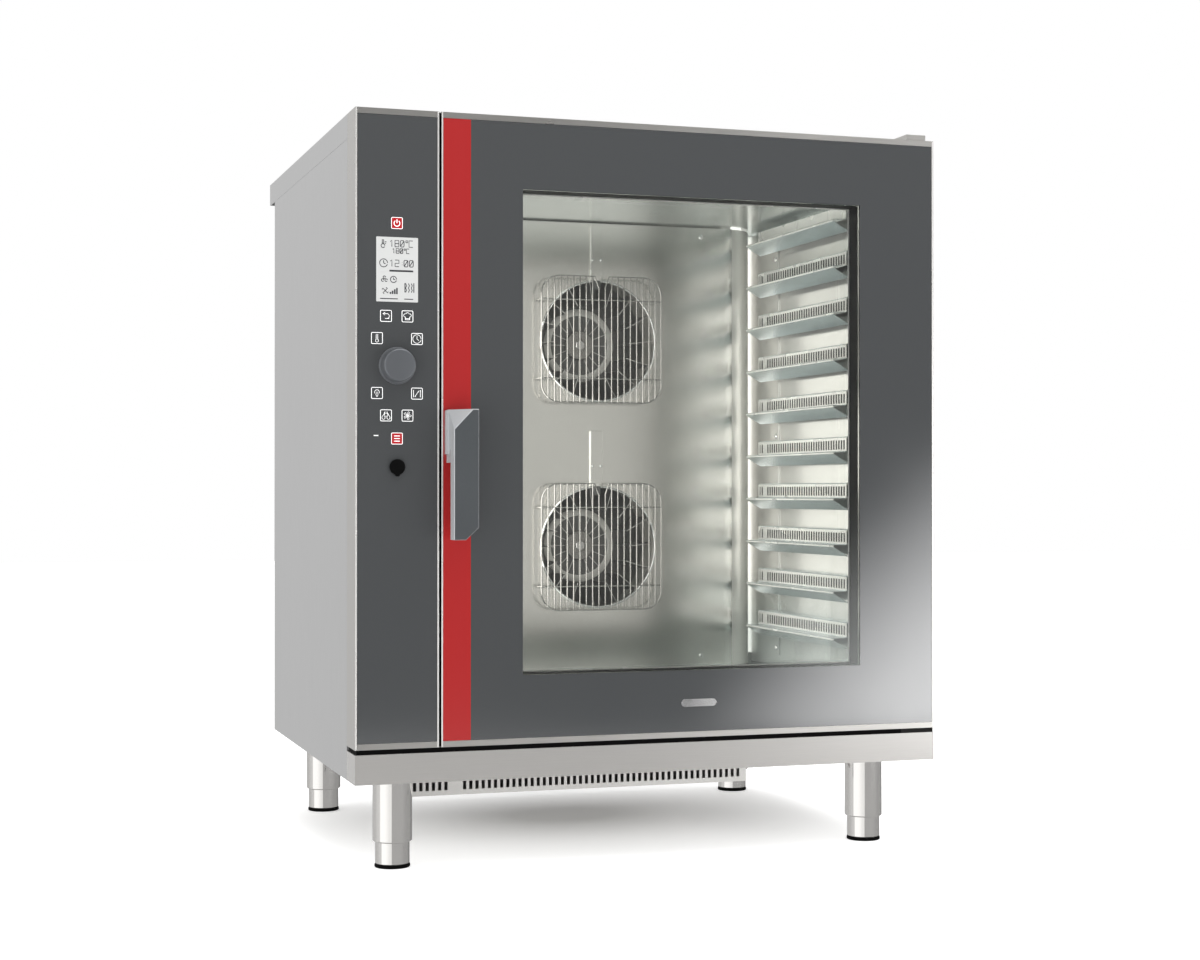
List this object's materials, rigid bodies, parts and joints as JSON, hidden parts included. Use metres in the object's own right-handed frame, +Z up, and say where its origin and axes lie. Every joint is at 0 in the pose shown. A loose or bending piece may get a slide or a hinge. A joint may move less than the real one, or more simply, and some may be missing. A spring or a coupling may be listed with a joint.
{
  "type": "combi steamer oven",
  "caption": "Free-standing combi steamer oven with a side-hinged glass door, an upright touch and knob control panel, fans behind a baffle, tray rails and levelling legs.",
  "frame": {"origin": "on the floor, under the centre of the whole oven's box", "axes": "+Z up; the door and controls face -Y; +X is to the right of a person who faces the door"},
  "size_m": [0.985, 0.886, 1.194],
  "materials": {
    "brushed_steel": "brushed stainless steel, fine grain",
    "polished_steel": "bright annealed stainless steel",
    "printed_glass": "back-printed tempered glass, dark grey",
    "clear_glass": "clear tempered glass",
    "black_rubber": "black silicone rubber",
    "black_plastic": "black moulded plastic",
    "grey_plastic": "grey moulded plastic",
    "circuit_board": "green circuit board",
    "mineral_wool": "mineral wool",
    "heating_element": "heat-darkened steel tube",
    "motor_casing": "dark painted aluminium",
    "lamp_glass": "frosted lamp glass in a steel ring",
    "satin_knob": "satin dark grey metal",
    "satin_handle": "satin dark grey metal"
  },
  "bodies": {
    "cabinet": {"base_frame": "brushed_steel", "cable_gland": "black_plastic", "cavity_probe": "brushed_steel", "cavity_shell": "polished_steel", "control_board": "circuit_board", "control_glass": "printed_glass", "control_housing": "brushed_steel", "cooling_fan_frame": "black_plastic", "display_module": "black_plastic", "door_gasket": "black_rubber", "drain_pipe": "grey_plastic", "fan_baffle": "polished_steel", "fan_guard_lower": "brushed_steel", "fan_guard_upper": "brushed_steel", "fan_motor_lower": "motor_casing", "fan_motor_upper": "motor_casing", "heater_lower": "heating_element", "heater_upper": "heating_element", "hinge_bracket_bottom": "brushed_steel", "hinge_bracket_top": "brushed_steel", "insulation_wrap": "mineral_wool", "knob_encoder": "black_plastic", "lamp_housing": "lamp_glass", "latch_strike": "brushed_steel", "leg_sleeve_front_left": "brushed_steel", "leg_sleeve_front_right": "brushed_steel", "leg_sleeve_rear_left": "brushed_steel", "leg_sleeve_rear_right": "brushed_steel", "power_board": "circuit_board", "probe_socket": "black_plastic", "rack_left": "brushed_steel", "rack_right": "brushed_steel", "rear_panel": "brushed_steel", "side_panel_left": "brushed_steel", "side_panel_right": "brushed_steel", "spray_channel_lower": "brushed_steel", "spray_channel_upper": "brushed_steel", "top_cover": "brushed_steel", "underside_vent_box": "brushed_steel", "vent_actuator": "black_plastic", "vent_chimney": "brushed_steel", "water_valve": "grey_plastic"},
    "door": {"door_frame": "brushed_steel", "door_glass_outer": "printed_glass", "door_inner_panel": "brushed_steel", "door_glass_inner": "clear_glass"},
    "handle": {"door_handle": "satin_handle", "latch_hook": "brushed_steel"},
    "knob": {"control_knob": "satin_knob"},
    "socket_cap": {"probe_cap": "black_rubber"},
    "fan_upper": {"impeller_upper": "polished_steel"},
    "fan_lower": {"impeller_lower": "polished_steel"},
    "cooling_rotor": {"cooling_fan_rotor": "black_plastic"},
    "flap": {"vent_flap": "brushed_steel"},
    "levelling_front_left": {"foot_front_left": "brushed_steel"},
    "levelling_front_right": {"foot_front_right": "brushed_steel"},
    "levelling_rear_left": {"foot_rear_left": "brushed_steel"},
    "levelling_rear_right": {"foot_rear_right": "brushed_steel"}
  },
  "joints": [
    {"name": "door_hinge", "type": "hinge", "parent": "cabinet", "child": "door", "pos_m": [0.4675, -0.367, 0.692], "axis": [0, 0, 1], "range_deg": [0, 120]},
    {"name": "handle_turn", "type": "hinge", "parent": "door", "child": "handle", "pos_m": [-0.3305, -0.393, 0.685], "axis": [0, -1, 0], "range_deg": [0, 90]},
    {"name": "knob_turn", "type": "hinge", "parent": "cabinet", "child": "knob", "pos_m": [-0.4273, -0.405, 0.789], "axis": [0, -1, 0], "continuous": true},
    {"name": "probe_cap_hinge", "type": "hinge", "parent": "cabinet", "child": "socket_cap", "pos_m": [-0.4273, -0.397, 0.6452], "axis": [-1, 0, 0], "range_deg": [0, 100]},
    {"name": "fan_upper_spin", "type": "hinge", "parent": "cabinet", "child": "fan_upper", "pos_m": [0.0745, 0.267, 0.877], "axis": [0, 1, 0], "continuous": true},
    {"name": "fan_lower_spin", "type": "hinge", "parent": "cabinet", "child": "fan_lower", "pos_m": [0.0745, 0.267, 0.492], "axis": [0, 1, 0], "continuous": true},
    {"name": "cooling_fan_spin", "type": "hinge", "parent": "cabinet", "child": "cooling_rotor", "pos_m": [-0.3875, 0.017, 0.212], "axis": [0, 0, 1], "continuous": true},
    {"name": "vent_flap_turn", "type": "hinge", "parent": "cabinet", "child": "flap", "pos_m": [0.2275, 0.207, 1.155], "axis": [1, 0, 0], "range_deg": [0, 90]},
    {"name": "level_front_left", "type": "slide", "parent": "cabinet", "child": "levelling_front_left", "axis": [0, 0, -1], "range_m": [0, 0.03]},
    {"name": "level_front_right", "type": "slide", "parent": "cabinet", "child": "levelling_front_right", "axis": [0, 0, -1], "range_m": [0, 0.03]},
    {"name": "level_rear_left", "type": "slide", "parent": "cabinet", "child": "levelling_rear_left", "axis": [0, 0, -1], "range_m": [0, 0.03]},
    {"name": "level_rear_right", "type": "slide", "parent": "cabinet", "child": "levelling_rear_right", "axis": [0, 0, -1], "range_m": [0, 0.03]}
  ]
}
